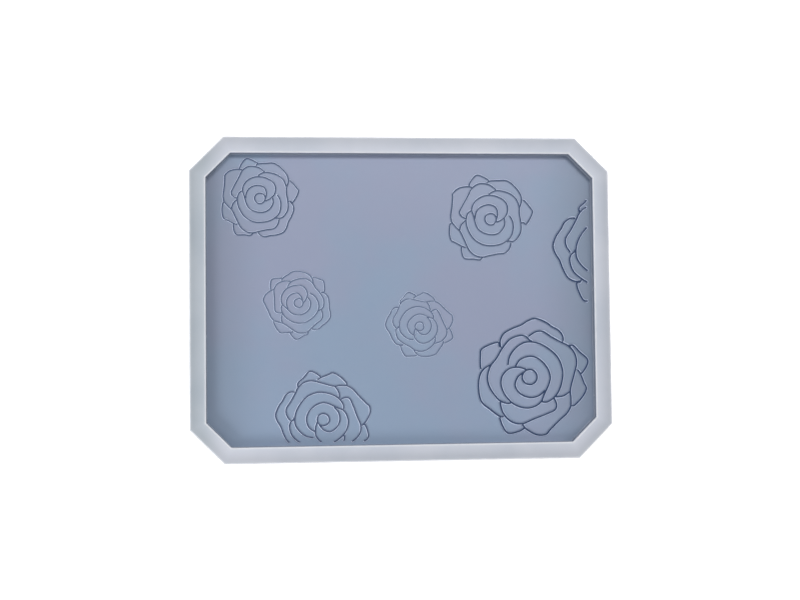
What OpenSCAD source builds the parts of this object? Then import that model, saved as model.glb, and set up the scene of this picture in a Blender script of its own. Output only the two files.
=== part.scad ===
// Resin casting mould: a shallow silicone tray with cut corners, moulded in one piece.
// A thick rim stands around a thin flat floor, and line-drawn roses stand up from the floor
// as low ridges, which leave engraved roses on the face of the casting.
// The origin is the middle of the underside, with +X along the length and +Z up.

/* [Tray] */
// Outer length, along X
tray_l = 292; // [276:1:320]
// Outer width, along Y
tray_w = 224; // [210:1:250]
// Height of the rim above the table
rim_h = 10; // [8:0.5:20]
// Thickness of the rim
rim_t = 11.5; // [8:0.5:14]
// Length that each cut corner takes off both sides
corner_cut = 23.5; // [16:0.5:30]
// Thickness of the floor
floor_t = 3.5; // [2:0.5:6]

/* [Rose ridges] */
// Width of a ridge, as a percentage of its rose's radius
ridge_w = 4; // [3:0.5:4]
// Height of a ridge, as a percentage of its rose's radius
ridge_h = 2; // [1:0.5:3]
// Bare strip kept between the rim and a rose that runs off the floor
ridge_gap = 1; // [0.5:0.5:3]
// Straight pieces between two points of a curve
curve_steps = 4; // [2:1:6]

/* [Far left rose] */
// Centre along X
far_left_x = -98; // [-105:0.5:-90]
// Centre along Y
far_left_y = 70; // [60:0.5:75]
// Radius
far_left_r = 29; // [24:0.5:32]
// Turn, in degrees
far_left_turn = 220; // [0:1:359]

/* [Far right rose] */
// Centre along X
far_right_x = 63; // [55:0.5:75]
// Centre along Y
far_right_y = 55.5; // [45:0.5:65]
// Radius
far_right_r = 32.5; // [26:0.5:36]
// Turn, in degrees
far_right_turn = 219; // [0:1:359]

/* [Right edge rose] */
// Centre along X, beyond the inside of the rim
right_edge_x = 148; // [130:0.5:150]
// Centre along Y
right_edge_y = 32; // [25:0.5:40]
// Radius
right_edge_r = 42; // [36:0.5:46]
// Turn, in degrees
right_edge_turn = 89; // [80:1:100]

/* [Middle left rose] */
// Centre along X
mid_left_x = -72; // [-85:0.5:-60]
// Centre along Y
mid_left_y = -2.5; // [-10:0.5:5]
// Radius
mid_left_r = 24.5; // [18:0.5:28]
// Turn, in degrees
mid_left_turn = 250; // [0:1:359]

/* [Centre rose] */
// Centre along X
centre_x = 12; // [0:0.5:20]
// Centre along Y
centre_y = -19.5; // [-30:0.5:-5]
// Radius
centre_r = 24.5; // [18:0.5:28]
// Turn, in degrees
centre_turn = 92; // [0:1:359]

/* [Near edge rose] */
// Centre along X
near_edge_x = -55.5; // [-65:0.5:-45]
// Centre along Y, close to the near rim
near_edge_y = -83; // [-90:0.5:-75]
// Radius
near_edge_r = 33.5; // [28:0.5:38]
// Turn, in degrees
near_edge_turn = 89; // [80:1:100]

/* [Near right rose] */
// Centre along X
near_right_x = 89; // [85:0.5:92]
// Centre along Y
near_right_y = -55.5; // [-58:0.5:-50]
// Radius
near_right_r = 42; // [36:0.5:42]
// Turn, in degrees
near_right_turn = 359; // [350:1:359]

/* [Hidden] */
$fn = 48;

rim_colour = [0.76, 0.79, 0.84];
floor_colour = [0.57, 0.63, 0.73];
ridge_colour = [0.38, 0.44, 0.57];

// Cut left on the inside of a corner, so that the rim is as thick there as along its sides
inner_cut = corner_cut - rim_t * (2 - sqrt(2));

// The rose is drawn once, in units of a hundredth of its radius, as the edges of its petals.
// Each edge is a smooth curve through its points, and ends on the middle of another edge.
bud_r = 12.5;
HEART = [[-4, 12], [-18, 16], [-34, 14], [-46, 2], [-48, -14], [-40, -32], [-25, -46], [-5, -51.5],
    [12, -47], [23, -37]];
HEART_HOOD = [[20, -41], [25, -28], [33, -10], [34.5, 3], [28, 18], [15, 30.5], [0, 34.5], [-16, 29],
    [-25, 16]];
INNER_FOLD = [[-9, 9], [-20, 0], [-24.5, -14], [-16, -27.5], [0, -34], [15, -31], [27, -21]];
INNER_HOOD = [[-37, 18], [-34, 34], [-24, 48], [-9, 57.5], [10, 57.5], [28, 50], [45, 36], [54, 19],
    [56, 2], [51, -19], [42, -33], [30, -41], [20, -41]];
LEFT_PETAL = [[5, 59], [-1, 62], [-6, 67], [-16, 69], [-33, 63], [-46, 48], [-56, 31], [-66, 18],
    [-71, 0], [-67, -18], [-53, -37], [-40, -43.5], [-30, -43.5]];
RIGHT_PETAL = [[-3, 67], [9, 75], [22, 76], [37, 67], [53, 58.5], [66, 52], [76, 40], [79.5, 24],
    [75, 4], [69, -20], [70, -34], [70, -48]];
RIGHT_FOLD = [[69, -23], [57, -31], [43, -33]];
LOWER_PETAL = [[-50, -40], [-45, -59], [-31, -74], [-13, -77.5], [6, -70], [30, -60.5], [43, -54],
    [45.5, -45], [41, -34]];
TOP_PETAL = [[-49, 50], [-50, 60], [-44, 72], [-30, 80.5], [-15, 86.5], [-3, 94], [10, 97.5],
    [26, 92], [38, 84], [49, 78], [56, 68], [56, 58]];
UPPER_LEFT_TIP = [[-46, 49], [-51, 51], [-53, 57], [-65, 54.5], [-81, 46], [-83, 36], [-83, 18],
    [-81, 11]];
LEFT_TIP = [[-62, 22], [-76, 14], [-84, 2], [-86, -18], [-81, -41], [-65, -55], [-50, -65.5],
    [-42, -65]];
LOWER_LEFT_TIP = [[-51, -66], [-45, -82], [-36, -93], [-18, -90], [-7, -83.5]];
LOWER_RIGHT_TIP = [[-13, -78], [-4, -87.5], [12, -95.5], [27, -95], [35, -87], [50, -72],
    [63, -60], [69, -50], [70, -45]];
RIGHT_TIP = [[70, -47], [76, -46.5], [89, -33], [96, -19], [92, -9], [86, 6], [80, 14]];
UPPER_RIGHT_TIP = [[65, 52], [74, 53], [84, 43], [98, 30], [96, 18], [87, 5]];
PETAL_EDGES = [
    HEART, HEART_HOOD, INNER_FOLD, INNER_HOOD, LEFT_PETAL, RIGHT_PETAL, RIGHT_FOLD, LOWER_PETAL,
    UPPER_LEFT_TIP, LEFT_TIP, LOWER_LEFT_TIP, LOWER_RIGHT_TIP, RIGHT_TIP, UPPER_RIGHT_TIP
];

// Point at t, from 0 to 1, between b and c on the smooth curve that runs through a, b, c and d
function curve_point(a, b, c, d, t) =
    (2 * b + (c - a) * t + (2 * a - 5 * b + 4 * c - d) * t * t
    + (3 * b - a - 3 * c + d) * t * t * t) / 2;

// Smooth curve through all the points, as a list of closely spaced points
function smooth(points) = let (last = len(points) - 1) concat(
    [for (i = [0 : last - 1], s = [0 : curve_steps - 1]) curve_point(
        i > 0 ? points[i - 1] : 2 * points[0] - points[1],
        points[i],
        points[i + 1],
        i < last - 1 ? points[i + 2] : 2 * points[last] - points[last - 1],
        s / curve_steps
    )],
    [points[last]]
);

// Point beside point k of a path, at a distance to its left
function beside(path, k, distance) =
    let (along = path[min(k + 1, len(path) - 1)] - path[max(k - 1, 0)])
    path[k] + distance * [-along[1], along[0]] / norm(along);

// Flat strip that follows the smooth curve through the points
module strip(points, width) {
    path = smooth(points);
    last = len(path) - 1;
    polygon(concat(
        [for (k = [0 : last]) beside(path, k, width / 2)],
        [for (k = [last : -1 : 0]) beside(path, k, -width / 2)]
    ));
}

// Outline of the tray: a rectangle with its corners cut off
module cut_rectangle(length, width, cut) {
    x = length / 2;
    y = width / 2;
    polygon([
        [x, cut - y], [x, y - cut], [x - cut, y], [cut - x, y],
        [-x, y - cut], [-x, cut - y], [cut - x, -y], [x - cut, -y]
    ]);
}

// Outline of the floor, inside the rim, drawn in by a margin
module floor_outline(margin) {
    cut_rectangle(
        tray_l - 2 * (rim_t + margin),
        tray_w - 2 * (rim_t + margin),
        inner_cut - margin * (2 - sqrt(2))
    );
}

// Ridges of a whole rose, 100 units in radius, standing on the plane Z = 0
module rose_ridges(with_top_petal) {
    linear_extrude(ridge_h)
        difference() {
            circle(r = bud_r + ridge_w / 2);
            circle(r = bud_r - ridge_w / 2);
        }
    linear_extrude(ridge_h) {
        for (edge = PETAL_EDGES) strip(edge, ridge_w);
        if (with_top_petal) strip(TOP_PETAL, ridge_w);
    }
}

// Ridges of one rose, standing on the floor and kept off the rim
module rose(x, y, r, turn, with_top_petal = true) {
    color(ridge_colour)
        translate([0, 0, floor_t])
            intersection() {
                linear_extrude(rim_h - floor_t) floor_outline(ridge_gap);
                translate([x, y, 0]) rotate(turn) scale(r / 100) rose_ridges(with_top_petal);
            }
}

module rim_wall() {
    color(rim_colour)
        linear_extrude(rim_h)
            difference() {
                cut_rectangle(tray_l, tray_w, corner_cut);
                floor_outline(0);
            }
}

module floor_sheet() {
    color(floor_colour)
        linear_extrude(floor_t)
            floor_outline(0);
}

module rose_far_left() {
    rose(far_left_x, far_left_y, far_left_r, far_left_turn);
}

// The outermost petal of this rose is left undrawn
module rose_far_right() {
    rose(far_right_x, far_right_y, far_right_r, far_right_turn, with_top_petal = false);
}

module rose_right_edge() {
    rose(right_edge_x, right_edge_y, right_edge_r, right_edge_turn);
}

module rose_mid_left() {
    rose(mid_left_x, mid_left_y, mid_left_r, mid_left_turn);
}

module rose_centre() {
    rose(centre_x, centre_y, centre_r, centre_turn);
}

module rose_near_edge() {
    rose(near_edge_x, near_edge_y, near_edge_r, near_edge_turn);
}

module rose_near_right() {
    rose(near_right_x, near_right_y, near_right_r, near_right_turn);
}

rim_wall();
floor_sheet();
rose_far_left();
rose_far_right();
rose_right_edge();
rose_mid_left();
rose_centre();
rose_near_edge();
rose_near_right();
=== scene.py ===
"""Resin casting mould: a shallow silicone tray with cut corners and line-drawn rose ridges.

The mould is poured in one piece. Its visible pieces are the frosted rim, the glossy floor
sheet, and the ridges of seven roses that stand up from the floor. Lengths are in metres,
with +X along the tray, +Y towards the far side and +Z up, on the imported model's frame.
"""
import math

import bmesh
import bpy
from mathutils import Matrix, Vector


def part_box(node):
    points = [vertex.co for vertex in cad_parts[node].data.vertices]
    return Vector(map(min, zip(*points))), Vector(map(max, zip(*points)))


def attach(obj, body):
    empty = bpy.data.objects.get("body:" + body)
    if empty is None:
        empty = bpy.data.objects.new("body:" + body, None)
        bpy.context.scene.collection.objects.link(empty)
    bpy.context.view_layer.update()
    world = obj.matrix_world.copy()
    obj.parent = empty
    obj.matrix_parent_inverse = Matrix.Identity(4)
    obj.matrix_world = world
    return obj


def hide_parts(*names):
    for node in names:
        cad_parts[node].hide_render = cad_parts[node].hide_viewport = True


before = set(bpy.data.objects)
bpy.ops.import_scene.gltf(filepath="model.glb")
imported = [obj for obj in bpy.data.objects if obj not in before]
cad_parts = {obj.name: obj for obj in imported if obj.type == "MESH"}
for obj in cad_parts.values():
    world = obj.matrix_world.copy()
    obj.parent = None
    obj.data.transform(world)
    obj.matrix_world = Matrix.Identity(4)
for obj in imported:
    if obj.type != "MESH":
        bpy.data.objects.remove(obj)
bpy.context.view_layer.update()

MM = 0.001

# ---------------------------------------------------------------- sizes of the mould
RIM_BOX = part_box("rim_wall")
FLOOR_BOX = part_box("floor_sheet")
TRAY_LENGTH = RIM_BOX[1][0] - RIM_BOX[0][0]
TRAY_WIDTH = RIM_BOX[1][1] - RIM_BOX[0][1]
RIM_HEIGHT = RIM_BOX[1][2] - RIM_BOX[0][2]
FLOOR_LENGTH = FLOOR_BOX[1][0] - FLOOR_BOX[0][0]
FLOOR_WIDTH = FLOOR_BOX[1][1] - FLOOR_BOX[0][1]
FLOOR_TOP = FLOOR_BOX[1][2]
RIM_THICKNESS = (TRAY_LENGTH - FLOOR_LENGTH) / 2
CORNER_CUT = 23.5 * MM
FLOOR_CUT = CORNER_CUT - RIM_THICKNESS * (2 - math.sqrt(2))
OUTER_ROUND = 0.7 * MM
INNER_ROUND = 0.9 * MM
RIM_WAVER = 0.22 * MM
FOOT_ROUND = 0.5 * MM
FOOT_SINK = 0.05 * MM
FIRM_FOOT = 1 * MM
ROUND_STEPS = 6
SIDE_CUTS = 24
CORNER_CUTS = 6
HALF_BEND = math.radians(22.5)
CREASE_ANGLE = math.radians(32)

RIDGE_WIDTH_SHARE = 0.054
RIDGE_HEIGHT_SHARE = 0.02
RIDGE_GAP = 1.0 * MM
RIDGE_STEP = 0.45 * MM
RIDGE_SINK = 0.1 * MM
RIDGE_SIDES = 14
LINE_SMOOTHNESS = 16
BLUNTEST_END = 0.12

# One rose, in hundredths of its radius: the edges of its petals, each a smooth curve
# through its points that ends on the middle of another edge.
BUD_RADIUS = 12.5
BUD_POINTS = 16
HEART = [(-4, 12), (-18, 16), (-34, 14), (-46, 2), (-48, -14), (-40, -32), (-25, -46),
         (-5, -51.5), (12, -47), (23, -37)]
HEART_HOOD = [(20, -41), (25, -28), (33, -10), (34.5, 3), (28, 18), (15, 30.5), (0, 34.5),
              (-16, 29), (-25, 16)]
INNER_FOLD = [(-9, 9), (-20, 0), (-24.5, -14), (-16, -27.5), (0, -34), (15, -31), (27, -21)]
INNER_HOOD = [(-37, 18), (-34, 34), (-24, 48), (-9, 57.5), (10, 57.5), (28, 50), (45, 36),
              (54, 19), (56, 2), (51, -19), (42, -33), (30, -41), (20, -41)]
LEFT_PETAL = [(5, 59), (-1, 62), (-6, 67), (-16, 69), (-33, 63), (-46, 48), (-56, 31),
              (-66, 18), (-71, 0), (-67, -18), (-53, -37), (-40, -43.5), (-30, -43.5)]
RIGHT_PETAL = [(-3, 67), (9, 75), (22, 76), (37, 67), (53, 58.5), (66, 52), (76, 40),
               (79.5, 24), (75, 4), (69, -20), (70, -34), (70, -48)]
RIGHT_FOLD = [(69, -23), (57, -31), (43, -33)]
LOWER_PETAL = [(-50, -40), (-45, -59), (-31, -74), (-13, -77.5), (6, -70), (30, -60.5),
               (43, -54), (45.5, -45), (41, -34)]
TOP_PETAL = [(-49, 50), (-50, 60), (-44, 72), (-30, 80.5), (-15, 86.5), (-3, 94), (10, 97.5),
             (26, 92), (38, 84), (49, 78), (56, 68), (56, 58)]
UPPER_LEFT_TIP = [(-46, 49), (-51, 51), (-53, 57), (-65, 54.5), (-81, 46), (-83, 36),
                  (-83, 18), (-81, 11)]
LEFT_TIP = [(-62, 22), (-76, 14), (-84, 2), (-86, -18), (-81, -41), (-65, -55), (-50, -65.5),
            (-42, -65)]
LOWER_LEFT_TIP = [(-51, -66), (-45, -82), (-36, -93), (-18, -90), (-7, -83.5)]
LOWER_RIGHT_TIP = [(-13, -78), (-4, -87.5), (12, -95.5), (27, -95), (35, -87), (50, -72),
                   (63, -60), (69, -50), (70, -45)]
RIGHT_TIP = [(70, -47), (76, -46.5), (89, -33), (96, -19), (92, -9), (86, 6), (80, 14)]
UPPER_RIGHT_TIP = [(65, 52), (74, 53), (84, 43), (98, 30), (96, 18), (87, 5)]
PETAL_EDGES = [
    HEART, HEART_HOOD, INNER_FOLD, INNER_HOOD, LEFT_PETAL, RIGHT_PETAL, RIGHT_FOLD,
    LOWER_PETAL, UPPER_LEFT_TIP, LEFT_TIP, LOWER_LEFT_TIP, LOWER_RIGHT_TIP, RIGHT_TIP,
    UPPER_RIGHT_TIP,
]

# Each rose's centre x, centre y and radius in millimetres, its turn in degrees, and whether
# its outermost petal is drawn.
ROSES = {
    "rose_far_left": (-98, 70, 29, 220, True),
    "rose_far_right": (63, 55.5, 32.5, 219, False),
    "rose_right_edge": (148, 32, 42, 89, True),
    "rose_mid_left": (-72, -2.5, 24.5, 250, True),
    "rose_centre": (12, -19.5, 24.5, 92, True),
    "rose_near_edge": (-55.5, -83, 33.5, 89, True),
    "rose_near_right": (89, -55.5, 42, 359, True),
}
LARGE_ROSE_RADIUS = 38 * MM
SMALL_ROSE_RADIUS = 26 * MM

scene = bpy.context.scene
collection = scene.collection


# ---------------------------------------------------------------- node tree helpers
class Tree:
    """A node tree being wired up: add() makes a node, and sets and links its inputs."""

    def __init__(self, nodes, links):
        self.nodes = nodes
        self.links = links

    def add(self, kind, inputs=None, **settings):
        node = self.nodes.new(kind)
        for name, value in settings.items():
            setattr(node, name, value)
        for name, value in (inputs or {}).items():
            self.feed(node.inputs[name], value)
        return node

    def feed(self, socket, value):
        if isinstance(value, bpy.types.NodeSocket):
            self.links.new(value, socket)
        else:
            socket.default_value = value

    def calc(self, operation, *values, clamp=False):
        """Output of a Math node."""
        node = self.add("ShaderNodeMath", operation=operation, use_clamp=clamp)
        for socket, value in zip(node.inputs, values):
            self.feed(socket, value)
        return node.outputs[0]

    def vector(self, operation, *values):
        """Output of a Vector Math node."""
        node = self.add("ShaderNodeVectorMath", operation=operation)
        for socket, value in zip(node.inputs, values):
            self.feed(socket, value)
        return node.outputs["Value" if operation in ("DOT_PRODUCT", "LENGTH") else 0]


def geometry_tree(name, sizes):
    """A Geometry Nodes tree with a geometry input and one named float input for each size."""
    group = bpy.data.node_groups.new(name, "GeometryNodeTree")
    group.interface.new_socket("Geometry", in_out="INPUT", socket_type="NodeSocketGeometry")
    for size in sizes:
        group.interface.new_socket(size, in_out="INPUT", socket_type="NodeSocketFloat")
    group.interface.new_socket("Material", in_out="INPUT", socket_type="NodeSocketMaterial")
    group.interface.new_socket("Geometry", in_out="OUTPUT", socket_type="NodeSocketGeometry")
    tree = Tree(group.nodes, group.links)
    given = tree.add("NodeGroupInput").outputs
    return group, tree, given


def close_tree(tree, geometry, material):
    """Ends a tree with Realize Instances and Set Material."""
    real = tree.add("GeometryNodeRealizeInstances", {"Geometry": geometry})
    painted = tree.add("GeometryNodeSetMaterial",
                       {"Geometry": real.outputs[0], "Material": material})
    tree.add("NodeGroupOutput", {"Geometry": painted.outputs[0]})


def grow(name, base_mesh, group, values):
    """Runs a Geometry Nodes tree on a base mesh, and returns the result as a plain object."""
    base = bpy.data.objects.new(name + "_base", base_mesh)
    collection.objects.link(base)
    modifier = base.modifiers.new(name, "NODES")
    modifier.node_group = group
    for socket in group.interface.items_tree:
        if socket.in_out == "INPUT" and socket.name in values:
            modifier[socket.identifier] = values[socket.name]
    graph = bpy.context.evaluated_depsgraph_get()
    mesh = bpy.data.meshes.new_from_object(base.evaluated_get(graph), depsgraph=graph)
    mesh.name = name
    bpy.data.objects.remove(base)
    piece = bpy.data.objects.new(name, mesh)
    collection.objects.link(piece)
    return piece


# ---------------------------------------------------------------- silicone finishes
# A Mix node has sockets of one name for numbers, vectors and colours: these are the colours'.
MIX_FIRST_COLOUR = 6
MIX_SECOND_COLOUR = 7
MIX_COLOUR_RESULT = 2

SILICONE_IOR = 1.41
SCATTER_BY_CHANNEL = (0.8, 0.9, 1.0)
WHITE = (1.0, 1.0, 1.0, 1.0)

RIM_MILK_SHADE = (0.44, 0.47, 0.53)
RIM_MILK_LIGHT = (0.50, 0.52, 0.575)
# Painted shade on the left end of the rim, and where it fades out.
RIM_LEFT_PAINTED_SHADE = (0.82, 0.86, 0.85, 1.0)
RIM_LEFT_PAINTED_SHADE_ENDS = (-0.138, -0.122)
RIM_INNER_LIFT = (1.25, 1.25, 1.26, 1.0)
# Painted highlight of the rounded edges.
RIM_PAINTED_EDGE_HIGHLIGHT = (0.78, 0.79, 0.83, 1.0)
# Painted shade of the glossy inner wall, at its foot and at its top.
WALL_FOOT_PAINTED_SHADE = (0.36, 0.40, 0.48, 1.0)
WALL_TOP_PAINTED_SHADE = (0.20, 0.225, 0.28, 1.0)

FLOOR_LAVENDER = (0.312, 0.348, 0.478)
FLOOR_BLUE = (0.278, 0.360, 0.490)
FLOOR_END_SHADE = (0.16, 0.185, 0.23, 1.0)
FLOOR_SHADE_STRENGTH = 0.5
FLOOR_SHADE_START = FLOOR_LENGTH / 2 - 45 * MM
FLOOR_SHADE_END = FLOOR_LENGTH / 2 + 10 * MM

# Painted shade of the ridge flank that faces the tray's middle.
RIDGE_SHADE = (0.22, 0.27, 0.38, 1.0)
CREST_START = 0.87
CREST_FULL = 0.95


def new_material(name):
    material = bpy.data.materials.new(name)
    material.use_nodes = True
    material.node_tree.nodes.clear()
    tree = Tree(material.node_tree.nodes, material.node_tree.links)
    return material, tree


def ramp(tree, factor, stops, ease="EASE"):
    """Colour ramp through (position, colour) stops."""
    node = tree.add("ShaderNodeValToRGB", {"Fac": factor})
    node.color_ramp.interpolation = ease
    points = node.color_ramp.elements
    while len(points) < len(stops):
        points.new(1.0)
    for point, (position, colour) in zip(points, stops):
        point.position = position
        point.color = (*colour, 1.0)
    return node.outputs["Color"]


def blend(tree, factor, first, second, kind="MIX"):
    """Colour mix of two colours or colour outputs."""
    node = tree.add("ShaderNodeMix", data_type="RGBA", blend_type=kind)
    tree.feed(node.inputs["Factor"], factor)
    tree.feed(node.inputs[MIX_FIRST_COLOUR], first)
    tree.feed(node.inputs[MIX_SECOND_COLOUR], second)
    return node.outputs[MIX_COLOUR_RESULT]


def noise(tree, place, scale, detail=2.0, roughness=0.5, seed=0.0):
    """Noise value at a place, with its pattern shifted by a seed."""
    shifted = tree.vector("ADD", place, (seed, seed * 0.7, seed * 1.3))
    node = tree.add("ShaderNodeTexNoise", {
        "Vector": shifted, "Scale": scale, "Detail": detail, "Roughness": roughness})
    return node.outputs["Fac"]


def ease_between(tree, value, low, high):
    """0 below low, 1 above high, and a smooth step between them."""
    node = tree.add("ShaderNodeMapRange", {
        "Value": value, "From Min": low, "From Max": high}, interpolation_type="SMOOTHSTEP")
    return node.outputs["Result"]


def finish_silicone(tree, colour, roughness, bump, bump_depth, scatter, reach, shine=0.5):
    """Silicone surface: translucent body, a soft gloss, and a fine uneven skin."""
    relief = tree.add("ShaderNodeBump", {
        "Height": bump, "Distance": bump_depth, "Strength": 1.0})
    skin = tree.add("ShaderNodeBsdfPrincipled", {
        "Base Color": colour, "Roughness": roughness, "Normal": relief.outputs[0],
        "IOR": SILICONE_IOR, "Specular IOR Level": shine, "Subsurface Weight": scatter,
        "Subsurface Scale": reach, "Subsurface Radius": SCATTER_BY_CHANNEL})
    tree.add("ShaderNodeOutputMaterial", {"Surface": skin.outputs[0]})


def attribute(tree, name):
    """Number that the sweep keeps on the piece under a name."""
    return tree.add("ShaderNodeAttribute", attribute_name=name).outputs["Fac"]


def frosted_rim_silicone():
    """Milky silicone: a matt top, with painted highlights on its rounded edges and painted
    shade on its left end and on the glossier face inside.
    """
    material, tree = new_material("frosted_rim_silicone")
    place = tree.add("ShaderNodeTexCoord").outputs["Object"]
    spot = tree.add("ShaderNodeSeparateXYZ", {"Vector": place}).outputs
    across = attribute(tree, "across")
    highlight_mask = attribute(tree, "highlight_mask")
    polished_and_shaded = ease_between(tree, attribute(tree, "polished_and_shaded"), 0.2, 0.8)

    cloud = noise(tree, place, scale=22.0, detail=3.0, roughness=0.55, seed=4.0)
    milky = ramp(tree, cloud, [(0.3, RIM_MILK_SHADE), (0.7, RIM_MILK_LIGHT)])
    # Painted shade: the left end of the rim is painted darker.
    off_left = ease_between(tree, spot["X"], *RIM_LEFT_PAINTED_SHADE_ENDS)
    left_painted_shade = blend(tree, off_left, RIM_LEFT_PAINTED_SHADE, WHITE)
    milky = blend(tree, 1.0, milky, left_painted_shade, kind="MULTIPLY")
    toned = blend(tree, ease_between(tree, across, -1.1, 1.1), milky, RIM_INNER_LIFT,
                  kind="MULTIPLY")
    # Painted highlight: the rounded edges are painted paler, broken up by noise.
    highlight_breakup = noise(tree, place, scale=160.0, detail=4.0, roughness=0.7, seed=12.0)
    highlight_share = tree.calc("MULTIPLY", highlight_mask, tree.calc("ADD", 0.45, highlight_breakup), clamp=True)
    edged = blend(tree, highlight_share, toned, RIM_PAINTED_EDGE_HIGHLIGHT)
    # Painted shade: the glossy inner face of the wall is painted dark, darkest at its top.
    wall_rise = ease_between(tree, spot["Z"], FLOOR_TOP, RIM_HEIGHT - INNER_ROUND)
    inside = blend(tree, wall_rise, WALL_FOOT_PAINTED_SHADE, WALL_TOP_PAINTED_SHADE)
    colour = blend(tree, polished_and_shaded, edged, inside)

    grain = noise(tree, place, scale=900.0, detail=3.0, roughness=0.6, seed=2.0)
    swell = noise(tree, place, scale=60.0, detail=2.0, roughness=0.5, seed=9.0)
    skin = tree.calc("ADD", tree.calc("MULTIPLY", grain, 0.25), swell)
    matt = tree.calc("ADD", 0.40, tree.calc("MULTIPLY", cloud, 0.12))
    roughness = tree.calc("SUBTRACT", matt, tree.calc("MULTIPLY", polished_and_shaded, 0.2))
    finish_silicone(tree, colour, roughness, skin, bump_depth=0.1 * MM, scatter=0.12,
                    reach=3 * MM)
    return material


def glossy_floor_silicone():
    """Thin bluish silicone with a semi-gloss face, clouded blue and lavender, and painted shade
    towards both ends.
    """
    material, tree = new_material("glossy_floor_silicone")
    place = tree.add("ShaderNodeTexCoord").outputs["Object"]
    spot = tree.add("ShaderNodeSeparateXYZ", {"Vector": place}).outputs

    cloud = noise(tree, place, scale=9.0, detail=2.0, roughness=0.5, seed=1.0)
    patch = noise(tree, place, scale=30.0, detail=3.0, roughness=0.55, seed=6.0)
    mottle = tree.calc("ADD", tree.calc("MULTIPLY", cloud, 0.7),
                       tree.calc("MULTIPLY", patch, 0.3))
    body = ramp(tree, mottle, [(0.38, FLOOR_LAVENDER), (0.62, FLOOR_BLUE)])
    # Painted shade: the floor is painted darker towards both end walls.
    to_end = ease_between(tree, tree.calc("ABSOLUTE", spot["X"]), FLOOR_SHADE_START,
                          FLOOR_SHADE_END)
    colour = blend(tree, tree.calc("MULTIPLY", to_end, FLOOR_SHADE_STRENGTH), body,
                   FLOOR_END_SHADE)

    grain = noise(tree, place, scale=700.0, detail=2.0, roughness=0.5, seed=3.0)
    swell = noise(tree, place, scale=35.0, detail=2.0, roughness=0.5, seed=8.0)
    skin = tree.calc("ADD", tree.calc("MULTIPLY", grain, 0.08), swell)
    roughness = tree.calc("ADD", 0.30, tree.calc("MULTIPLY", patch, 0.12))
    finish_silicone(tree, colour, roughness, skin, bump_depth=0.12 * MM, scatter=0.15,
                    reach=3 * MM)
    return material


def ridge_silicone(name, crest, light):
    """Glossy silicone of the ridges: painted shade darkens the crest and the flank facing the
    tray's middle, and a painted highlight pales the flank that faces the rim.
    """
    material, tree = new_material(name)
    coordinates = tree.add("ShaderNodeTexCoord").outputs
    place = coordinates["Object"]
    normal = coordinates["Normal"]
    # Painted highlight on the flank facing away from the tray's middle, painted shade on the
    # other.
    outward = tree.vector("NORMALIZE", tree.vector("MULTIPLY", place, (1, 1, 0)))
    facing = tree.vector("DOT_PRODUCT", normal, outward)
    upward = tree.add("ShaderNodeSeparateXYZ", {"Vector": normal}).outputs["Z"]

    cloud = noise(tree, place, scale=120.0, detail=3.0, roughness=0.6, seed=5.0)
    flank = blend(tree, ease_between(tree, facing, -0.2, 0.2), RIDGE_SHADE, light)
    # Painted shade: the crest, where the surface faces up, is painted dark, with an uneven
    # border.
    uneven = tree.calc("ADD", upward, tree.calc("MULTIPLY", cloud, 0.04))
    colour = blend(tree, ease_between(tree, uneven, CREST_START, CREST_FULL), flank, crest)

    grain = noise(tree, place, scale=1500.0, detail=2.0, roughness=0.5, seed=7.0)
    roughness = tree.calc("ADD", 0.22, tree.calc("MULTIPLY", cloud, 0.1))
    finish_silicone(tree, colour, roughness, grain, bump_depth=0.03 * MM, scatter=0.0,
                    reach=1 * MM, shine=0.25)
    return material


RIM_FINISH = frosted_rim_silicone()
FLOOR_FINISH = glossy_floor_silicone()
# The three ridge finishes differ in the strength of their painted crest shade and flank
# highlight.
LARGE_RIDGE_FINISH = ridge_silicone(
    "large_rose_silicone", crest=(0.035, 0.06, 0.13, 1.0), light=(0.68, 0.76, 0.95, 1.0))
MIDDLE_RIDGE_FINISH = ridge_silicone(
    "middle_rose_silicone", crest=(0.07, 0.10, 0.18, 1.0), light=(0.68, 0.75, 0.92, 1.0))
SMALL_RIDGE_FINISH = ridge_silicone(
    "small_rose_silicone", crest=(0.12, 0.16, 0.26, 1.0), light=(0.64, 0.72, 0.88, 1.0))


# ---------------------------------------------------------------- the rim
SIDE_RINGS = (0.04, 0.3, 0.6, 0.9)
TOP_RINGS = (0.04, 0.2, 0.4, 0.6, 0.8, 0.96)
WALL_RINGS = (0.06, 0.35, 0.65, 0.95)
FAINT_HIGHLIGHT = 0.1


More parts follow.
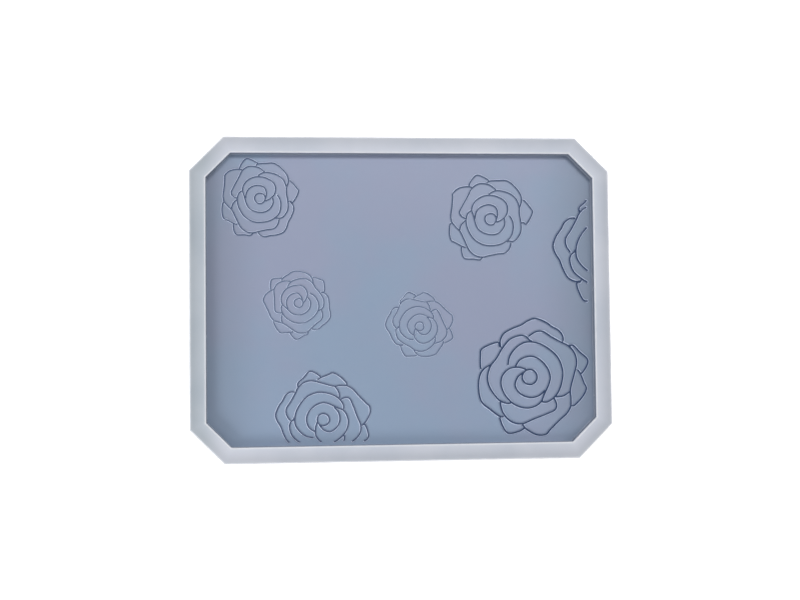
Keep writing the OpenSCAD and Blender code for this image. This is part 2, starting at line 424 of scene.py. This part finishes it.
def rim_profile():
    """Closed outline of the rim's section, from the table up the outside and down the inside.

    The sweep turns a section upside down, so the outline is made with both signs changed.
    Each point also says how far across the rim it is, from -1 outside to 1 inside, how much
    painted highlight it gets, from 0 to 1 at the top of a rounded edge, and whether it is on
    the smooth glossy face of the inner wall, which gets painted shade.
    """
    half = RIM_THICKNESS / 2
    side_top = RIM_HEIGHT - OUTER_ROUND
    wall_top = RIM_HEIGHT - INNER_ROUND
    wall_foot = FLOOR_TOP + FOOT_ROUND
    top_start = OUTER_ROUND - half
    top_run = RIM_THICKNESS - OUTER_ROUND - INNER_ROUND

    points = [(-half, 0.0, 0.0, 0)]
    points += [(-half, side_top * share, 0.0, 0) for share in SIDE_RINGS]
    for step in range(ROUND_STEPS + 1):
        angle = math.radians(180 - 90 * step / ROUND_STEPS)
        points.append((OUTER_ROUND * (1 + math.cos(angle)) - half,
                       side_top + OUTER_ROUND * math.sin(angle), math.sin(angle) ** 2, 0))
    for share in TOP_RINGS:
        # The top's first and last rings get a faint painted highlight.
        highlight_share = FAINT_HIGHLIGHT if share in (TOP_RINGS[0], TOP_RINGS[-1]) else 0.0
        points.append((top_start + top_run * share, RIM_HEIGHT, highlight_share, 0))
    for step in range(ROUND_STEPS + 1):
        angle = math.radians(90 - 90 * step / ROUND_STEPS)
        points.append((half - INNER_ROUND * (1 - math.cos(angle)),
                       wall_top + INNER_ROUND * math.sin(angle), math.sin(angle) ** 2, 0))
    points += [(half, wall_top + share * (wall_foot - wall_top), 0.0, 1)
               for share in WALL_RINGS]
    for step in range(ROUND_STEPS + 1):
        angle = math.radians(180 + 90 * step / ROUND_STEPS)
        points.append((half + FOOT_ROUND * (1 + math.cos(angle)),
                       wall_foot + FOOT_ROUND * math.sin(angle) - FOOT_SINK, 0.0, 1))
    points += [(half, FLOOR_TOP - FOOT_ROUND, 0.0, 1), (half, 0.0, 0.0, 0)]

    mesh = bpy.data.meshes.new("rim_profile")
    count = len(points)
    mesh.from_pydata([(-x, -y, 0) for x, y, highlight_share, inner in points],
                     [(k, (k + 1) % count) for k in range(count)], [])
    across = mesh.attributes.new("across", "FLOAT", "POINT")
    highlight_mask = mesh.attributes.new("highlight_mask", "FLOAT", "POINT")
    polished_and_shaded = mesh.attributes.new("polished_and_shaded", "FLOAT", "POINT")
    for k, (x, y, highlight_share, inner) in enumerate(points):
        across.data[k].value = x / half
        highlight_mask.data[k].value = highlight_share
        polished_and_shaded.data[k].value = inner
    return mesh


def rim_tree():
    """A rectangle with cut corners, swept with the rim's section and mitred at the corners."""
    group, tree, given = geometry_tree("rim_with_cut_corners", [
        "Outer length", "Outer width", "Corner cut", "Thickness", "Waver"])
    rail_length = tree.calc("SUBTRACT", given["Outer length"], given["Thickness"])
    rail_width = tree.calc("SUBTRACT", given["Outer width"], given["Thickness"])
    rail_cut = tree.calc("SUBTRACT", given["Corner cut"],
                        tree.calc("MULTIPLY", given["Thickness"], 1 - math.sqrt(0.5)))
    rail = tree.add("GeometryNodeCurvePrimitiveQuadrilateral",
                    {"Width": rail_length, "Height": rail_width})
    cut_rail = tree.add("GeometryNodeFilletCurve",
                        {"Curve": rail.outputs[0], "Count": 1, "Radius": rail_cut},
                        mode="POLY")

    # The corner cuts and the sides take turns along the rail, and a cut comes first.
    number = tree.add("GeometryNodeInputIndex").outputs[0]
    is_side = tree.calc("MODULO", number, 2.0)
    cuts = tree.calc("MULTIPLY_ADD", is_side, SIDE_CUTS - CORNER_CUTS, CORNER_CUTS)
    fine = tree.add("GeometryNodeSubdivideCurve", {"Curve": cut_rail.outputs[0], "Cuts": cuts})
    side_start = CORNER_CUTS + 1.0
    place_in_pair = tree.calc("MODULO", number, side_start + SIDE_CUTS + 1.0)
    at_bend = tree.calc("MAXIMUM", tree.calc("LESS_THAN", place_in_pair, 0.5),
                       tree.calc("COMPARE", place_in_pair, side_start, 0.5))
    corners = tree.add("GeometryNodeStoreNamedAttribute", {
        "Geometry": fine.outputs[0], "Name": "corner", "Value": at_bend},
        data_type="FLOAT", domain="POINT")
    spot = tree.add("GeometryNodeInputPosition").outputs[0]
    middle = tree.add("GeometryNodeStoreNamedAttribute", {
        "Geometry": corners.outputs[0], "Name": "rail", "Value": spot},
        data_type="FLOAT_VECTOR", domain="POINT")

    upright = tree.add("GeometryNodeSetCurveNormal", {"Curve": middle.outputs[0]},
                       mode="Z_UP")
    profile = tree.add("GeometryNodeMeshToCurve", {"Mesh": given["Geometry"]})
    swept = tree.add("GeometryNodeCurveToMesh", {
        "Curve": upright.outputs[0], "Profile Curve": profile.outputs[0]})
    facing_out = tree.add("GeometryNodeFlipFaces", {"Mesh": swept.outputs[0]})

    # At a bend the section is stretched away from the rail, so that both sides keep their
    # full thickness up to the mitre.
    corner = tree.add("GeometryNodeInputNamedAttribute", {"Name": "corner"},
                      data_type="FLOAT").outputs["Attribute"]
    centre = tree.add("GeometryNodeInputNamedAttribute", {"Name": "rail"},
                      data_type="FLOAT_VECTOR").outputs["Attribute"]
    outward = tree.vector("MULTIPLY", tree.vector("SUBTRACT", spot, centre), (1, 1, 0))
    stretch = tree.vector("SCALE", outward)
    tree.feed(stretch.node.inputs["Scale"], 1 / math.cos(HALF_BEND) - 1)
    mitred = tree.add("GeometryNodeSetPosition", {
        "Geometry": facing_out.outputs[0], "Offset": stretch,
        "Selection": tree.calc("GREATER_THAN", corner, 0.5)})

    waver = noise(tree, spot, scale=28.0, detail=2.0, roughness=0.5, seed=3.0)
    inward = tree.vector("SCALE", tree.add("GeometryNodeInputNormal").outputs[0])
    depth = tree.calc("MULTIPLY", tree.calc("MULTIPLY", waver, given["Waver"]), -1.0)
    tree.feed(inward.node.inputs["Scale"], depth)
    height = tree.add("ShaderNodeSeparateXYZ", {"Vector": spot}).outputs["Z"]
    above_table = tree.calc("GREATER_THAN", height, FIRM_FOOT)
    uneven = tree.add("GeometryNodeSetPosition", {
        "Geometry": mitred.outputs[0], "Selection": above_table, "Offset": inward})

    soft = tree.add("GeometryNodeSetShadeSmooth", {
        "Geometry": uneven.outputs[0], "Shade Smooth": True}, domain="FACE")
    bend = tree.add("GeometryNodeInputMeshEdgeAngle").outputs["Unsigned Angle"]
    crisp = tree.add("GeometryNodeSetShadeSmooth", {
        "Geometry": soft.outputs[0], "Shade Smooth": False,
        "Selection": tree.calc("GREATER_THAN", bend, CREASE_ANGLE)}, domain="EDGE")
    close_tree(tree, crisp.outputs[0], given["Material"])
    return group


rim = grow("silicone_rim", rim_profile(), rim_tree(), {
    "Outer length": TRAY_LENGTH, "Outer width": TRAY_WIDTH, "Corner cut": CORNER_CUT,
    "Thickness": RIM_THICKNESS, "Waver": RIM_WAVER, "Material": RIM_FINISH})


# ---------------------------------------------------------------- the floor sheet
FLOOR_CELL = 4 * MM
CUT_TOLERANCE = 1e-7
# Level first, then row, then place along the row.
ORDER_WEIGHTS = Vector((1.0, 1e3, 1e6))


def floor_sheet():
    """Flat closed slab inside the rim, with its corners cut."""
    bm = bmesh.new()
    bmesh.ops.create_grid(bm, x_segments=round(FLOOR_LENGTH / FLOOR_CELL),
                          y_segments=round(FLOOR_WIDTH / FLOOR_CELL), size=0.5)
    for vertex in bm.verts:
        vertex.co.x *= FLOOR_LENGTH
        vertex.co.y *= FLOOR_WIDTH
    for side_x in (-1, 1):
        for side_y in (-1, 1):
            on_cut = Vector((side_x * FLOOR_LENGTH / 2,
                             side_y * (FLOOR_WIDTH / 2 - FLOOR_CUT), 0))
            bmesh.ops.bisect_plane(
                bm, geom=bm.verts[:] + bm.edges[:] + bm.faces[:], dist=CUT_TOLERANCE,
                plane_co=on_cut, plane_no=(side_x, side_y, 0), clear_outer=True)
    top = bmesh.ops.extrude_face_region(bm, geom=bm.faces[:])["geom"]
    for item in top:
        if isinstance(item, bmesh.types.BMVert):
            item.co.z = FLOOR_TOP
    bmesh.ops.recalc_face_normals(bm, faces=bm.faces[:])

    # The side faces come in no fixed order, so all parts are put in order of place.
    bm.verts.sort(key=lambda vertex: vertex.co.dot(ORDER_WEIGHTS))
    bm.faces.sort(key=lambda face: face.calc_center_median().dot(ORDER_WEIGHTS))
    mesh = bpy.data.meshes.new("floor_sheet_skin")
    bm.to_mesh(mesh)
    bm.free()
    mesh.materials.append(FLOOR_FINISH)
    piece = bpy.data.objects.new("silicone_floor", mesh)
    collection.objects.link(piece)
    return piece


floor = floor_sheet()


# ---------------------------------------------------------------- the roses
def rose_drawing(with_top_petal):
    """Petal edges of one rose as bare lines, in hundredths of its radius."""
    points = []
    edges = []
    for line in PETAL_EDGES + ([TOP_PETAL] if with_top_petal else []):
        first = len(points)
        points += [(x, y, 0) for x, y in line]
        edges += [(first + k, first + k + 1) for k in range(len(line) - 1)]
    first = len(points)
    for k in range(BUD_POINTS):
        angle = 2 * math.pi * k / BUD_POINTS
        points.append((BUD_RADIUS * math.cos(angle), BUD_RADIUS * math.sin(angle), 0))
        edges.append((first + k, first + (k + 1) % BUD_POINTS))
    mesh = bpy.data.meshes.new("rose_lines")
    mesh.from_pydata(points, edges, [])
    return mesh


def rose_tree():
    """Ridges that follow the lines of a rose, with round ends, kept off the rim."""
    group, tree, given = geometry_tree("rose_ridges", [
        "Centre X", "Centre Y", "Radius", "Turn", "Ridge width", "Ridge height", "Sink",
        "Ring spacing", "Floor top", "Half length", "Half width", "Corner reach"])
    lines = tree.add("GeometryNodeMeshToCurve", {"Mesh": given["Geometry"]})
    smooth = tree.add("GeometryNodeCurveSplineType", {"Curve": lines.outputs[0]},
                      spline_type="CATMULL_ROM")
    fine = tree.add("GeometryNodeSetSplineResolution",
                    {"Geometry": smooth.outputs[0], "Resolution": LINE_SMOOTHNESS})
    centre = tree.add("ShaderNodeCombineXYZ", {
        "X": given["Centre X"], "Y": given["Centre Y"], "Z": given["Floor top"]})
    turn = tree.add("ShaderNodeCombineXYZ", {"Z": given["Turn"]})
    size = tree.calc("DIVIDE", given["Radius"], 100.0)
    placed = tree.add("GeometryNodeTransform", {
        "Geometry": fine.outputs[0], "Translation": centre.outputs[0],
        "Rotation": turn.outputs[0], "Scale": size})
    even = tree.add("GeometryNodeResampleCurve",
                    {"Curve": placed.outputs[0], "Length": given["Ring spacing"]},
                    mode="LENGTH")
    wires = tree.add("GeometryNodeCurveToMesh", {"Curve": even.outputs[0]})

    # What runs past the margin inside the floor's eight sides is taken off the lines.
    spot = tree.add("ShaderNodeSeparateXYZ",
                    {"Vector": tree.add("GeometryNodeInputPosition").outputs[0]}).outputs
    across_x = tree.calc("ABSOLUTE", spot["X"])
    across_y = tree.calc("ABSOLUTE", spot["Y"])
    beyond = tree.calc("MAXIMUM", tree.calc("GREATER_THAN", across_x, given["Half length"]),
                      tree.calc("GREATER_THAN", across_y, given["Half width"]))
    beyond = tree.calc("MAXIMUM", beyond, tree.calc(
        "GREATER_THAN", tree.calc("ADD", across_x, across_y), given["Corner reach"]))
    kept = tree.add("GeometryNodeDeleteGeometry",
                    {"Geometry": wires.outputs[0], "Selection": beyond}, domain="POINT")
    runs = tree.add("GeometryNodeMeshToCurve", {"Mesh": kept.outputs[0]})
    upright = tree.add("GeometryNodeSetCurveNormal", {"Curve": runs.outputs[0]}, mode="Z_UP")

    # The sweep turns the section upside down, so a move up sinks the dome into the floor.
    profile = tree.add("GeometryNodeCurvePrimitiveCircle", {
        "Resolution": RIDGE_SIDES, "Radius": 1.0}, mode="RADIUS")
    dome = tree.add("ShaderNodeCombineXYZ", {
        "X": tree.calc("MULTIPLY", given["Ridge width"], 0.5),
        "Y": tree.calc("ADD", given["Ridge height"], given["Sink"]), "Z": 1.0})
    settle = tree.add("ShaderNodeCombineXYZ", {"Y": given["Sink"]})
    seated = tree.add("GeometryNodeTransform", {
        "Geometry": profile.outputs[0], "Scale": dome.outputs[0],
        "Translation": settle.outputs[0]})

    # The ridge narrows in a half circle at each open end.
    along = tree.add("GeometryNodeSplineParameter").outputs["Length"]
    whole = tree.add("GeometryNodeSplineLength").outputs["Length"]
    to_end = tree.calc("MINIMUM", along, tree.calc("SUBTRACT", whole, along))
    share = tree.calc("DIVIDE", to_end, tree.calc("MULTIPLY", given["Ridge width"], 0.5),
                     clamp=True)
    left = tree.calc("SUBTRACT", 1.0, share)
    round_end = tree.calc("SQRT", tree.calc("SUBTRACT", 1.0, tree.calc("MULTIPLY", left, left)))
    loop = tree.add("GeometryNodeInputSplineCyclic").outputs[0]
    scale = tree.calc("MAXIMUM", tree.calc("MAXIMUM", round_end, loop), BLUNTEST_END)
    ridges = tree.add("GeometryNodeCurveToMesh", {
        "Curve": upright.outputs[0], "Profile Curve": seated.outputs[0], "Scale": scale,
        "Fill Caps": True})

    # Ridges that meet are joined into one closed skin.
    island = tree.add("GeometryNodeInputMeshIsland").outputs["Island Index"]
    apart = tree.add("GeometryNodeSplitToInstances", {
        "Geometry": ridges.outputs[0], "Group ID": island}, domain="POINT")
    fused = tree.add("GeometryNodeMeshBoolean", {"Mesh 2": apart.outputs[0]},
                     operation="UNION", solver="MANIFOLD")
    soft = tree.add("GeometryNodeSetShadeSmooth", {
        "Geometry": fused.outputs[0], "Shade Smooth": True}, domain="FACE")
    close_tree(tree, soft.outputs[0], given["Material"])
    return group


ROSE_TREE = rose_tree()


def rose(node):
    """Ridges of one rose, placed on the floor and kept RIDGE_GAP away from the rim."""
    x, y, radius, turn, with_top_petal = ROSES[node]
    radius *= MM
    width = RIDGE_WIDTH_SHARE * radius
    margin = RIDGE_GAP + width / 2
    reach = (FLOOR_LENGTH + FLOOR_WIDTH) / 2 - FLOOR_CUT - margin * math.sqrt(2)
    finish = MIDDLE_RIDGE_FINISH
    if radius > LARGE_ROSE_RADIUS:
        finish = LARGE_RIDGE_FINISH
    elif radius < SMALL_ROSE_RADIUS:
        finish = SMALL_RIDGE_FINISH
    return grow(node + "_ridges", rose_drawing(with_top_petal), ROSE_TREE, {
        "Centre X": x * MM, "Centre Y": y * MM, "Radius": radius, "Turn": math.radians(turn),
        "Ridge width": width, "Ridge height": RIDGE_HEIGHT_SHARE * radius,
        "Sink": RIDGE_SINK, "Ring spacing": RIDGE_STEP, "Floor top": FLOOR_TOP,
        "Half length": FLOOR_LENGTH / 2 - margin, "Half width": FLOOR_WIDTH / 2 - margin,
        "Corner reach": reach, "Material": finish})


roses = {node: rose(node) for node in ROSES}


# ---------------------------------------------------------------- stage, light and camera
TABLE_REACH = 3.0
TABLE_DROP = 0.3 * MM
TABLE_COLOUR = (0.93, 0.93, 0.93, 1.0)
TABLE_GLOW = 0.55
ROOM_COLOUR = (0.95, 0.97, 1.0, 1.0)
ROOM_STRENGTH = 0.20

# Each softbox aims at the mould: its name, place, width, height and power in watts.
SOFTBOXES = [
    ("key_softbox", (0.15, 0.72, 1.36), 1.0, 0.4, 12.6),
    ("near_softbox", (0.0, -1.0, 1.2), 1.0, 0.4, 2.0),
    ("left_softbox", (-1.1, 0.0, 1.0), 0.4, 1.0, 2.6),
    ("right_softbox", (1.1, 0.0, 1.0), 0.4, 1.0, 3.2),
    ("near_left_softbox", (-0.5, -0.5, 0.30), 0.3, 0.2, 1.8),
]

CAMERA_PLACE = (-0.0781, -0.0359, 0.8335)
CAMERA_TARGET = (-0.0013, -0.0008, 0.001)
CAMERA_ROLL = math.radians(-0.61)
CAMERA_LENS = 54.0
SENSOR_WIDTH = 36.0


def stage_table():
    """White glowing table top just under the mould."""
    mesh = bpy.data.meshes.new("table_top")
    mesh.from_pydata([(-TABLE_REACH, -TABLE_REACH, 0), (TABLE_REACH, -TABLE_REACH, 0),
                      (TABLE_REACH, TABLE_REACH, 0), (-TABLE_REACH, TABLE_REACH, 0)],
                     [], [(0, 1, 2, 3)])
    material, tree = new_material("white_table")
    skin = tree.add("ShaderNodeBsdfPrincipled", {
        "Base Color": TABLE_COLOUR, "Roughness": 0.9, "Specular IOR Level": 0.0,
        "Emission Color": WHITE, "Emission Strength": TABLE_GLOW})
    tree.add("ShaderNodeOutputMaterial", {"Surface": skin.outputs[0]})
    mesh.materials.append(material)
    table = bpy.data.objects.new("table", mesh)
    table.location.z = -TABLE_DROP
    collection.objects.link(table)


def softbox(name, place, width, height, power):
    """Rectangular lamp that aims at the middle of the mould and is not seen itself."""
    light = bpy.data.lights.new(name, "AREA")
    light.shape = "RECTANGLE"
    light.size = width
    light.size_y = height
    light.energy = power
    lamp = bpy.data.objects.new(name, light)
    lamp.location = place
    aim = -Vector(place)
    lamp.rotation_euler = aim.to_track_quat("-Z", "Y").to_euler()
    lamp.visible_camera = False
    collection.objects.link(lamp)


def room_light():
    """Even pale light from every side."""
    world = bpy.data.worlds.new("pale_room")
    world.use_nodes = True
    backdrop = world.node_tree.nodes["Background"]
    backdrop.inputs["Color"].default_value = ROOM_COLOUR
    backdrop.inputs["Strength"].default_value = ROOM_STRENGTH
    scene.world = world


def aim_camera(place, target, roll, lens):
    """Camera above the bench, with its top towards +Y, then rolled."""
    data = bpy.data.cameras.new("bench_camera")
    data.lens = lens
    data.sensor_width = SENSOR_WIDTH
    data.clip_start = 0.01
    camera = bpy.data.objects.new("bench_camera", data)
    forward = (Vector(target) - Vector(place)).normalized()
    right = forward.cross(Vector((0, 1, 0))).normalized()
    up = right.cross(forward)
    facing = Matrix((right, up, -forward)).transposed()
    turned = facing @ Matrix.Rotation(roll, 3, "Z")
    camera.matrix_world = Matrix.Translation(place) @ turned.to_4x4()
    collection.objects.link(camera)
    scene.camera = camera


stage_table()
room_light()
for settings in SOFTBOXES:
    softbox(*settings)
aim_camera(CAMERA_PLACE, CAMERA_TARGET, CAMERA_ROLL, CAMERA_LENS)
scene.view_settings.view_transform = "Standard"

# ---------------------------------------------------------------- riding
for piece, node, slot in [(rim, "rim_wall", "rim_silicone"),
                          (floor, "floor_sheet", "floor_silicone")]:
    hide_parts(node)
    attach(piece, "root")
for node, piece in roses.items():
    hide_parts(node)
    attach(piece, "root")
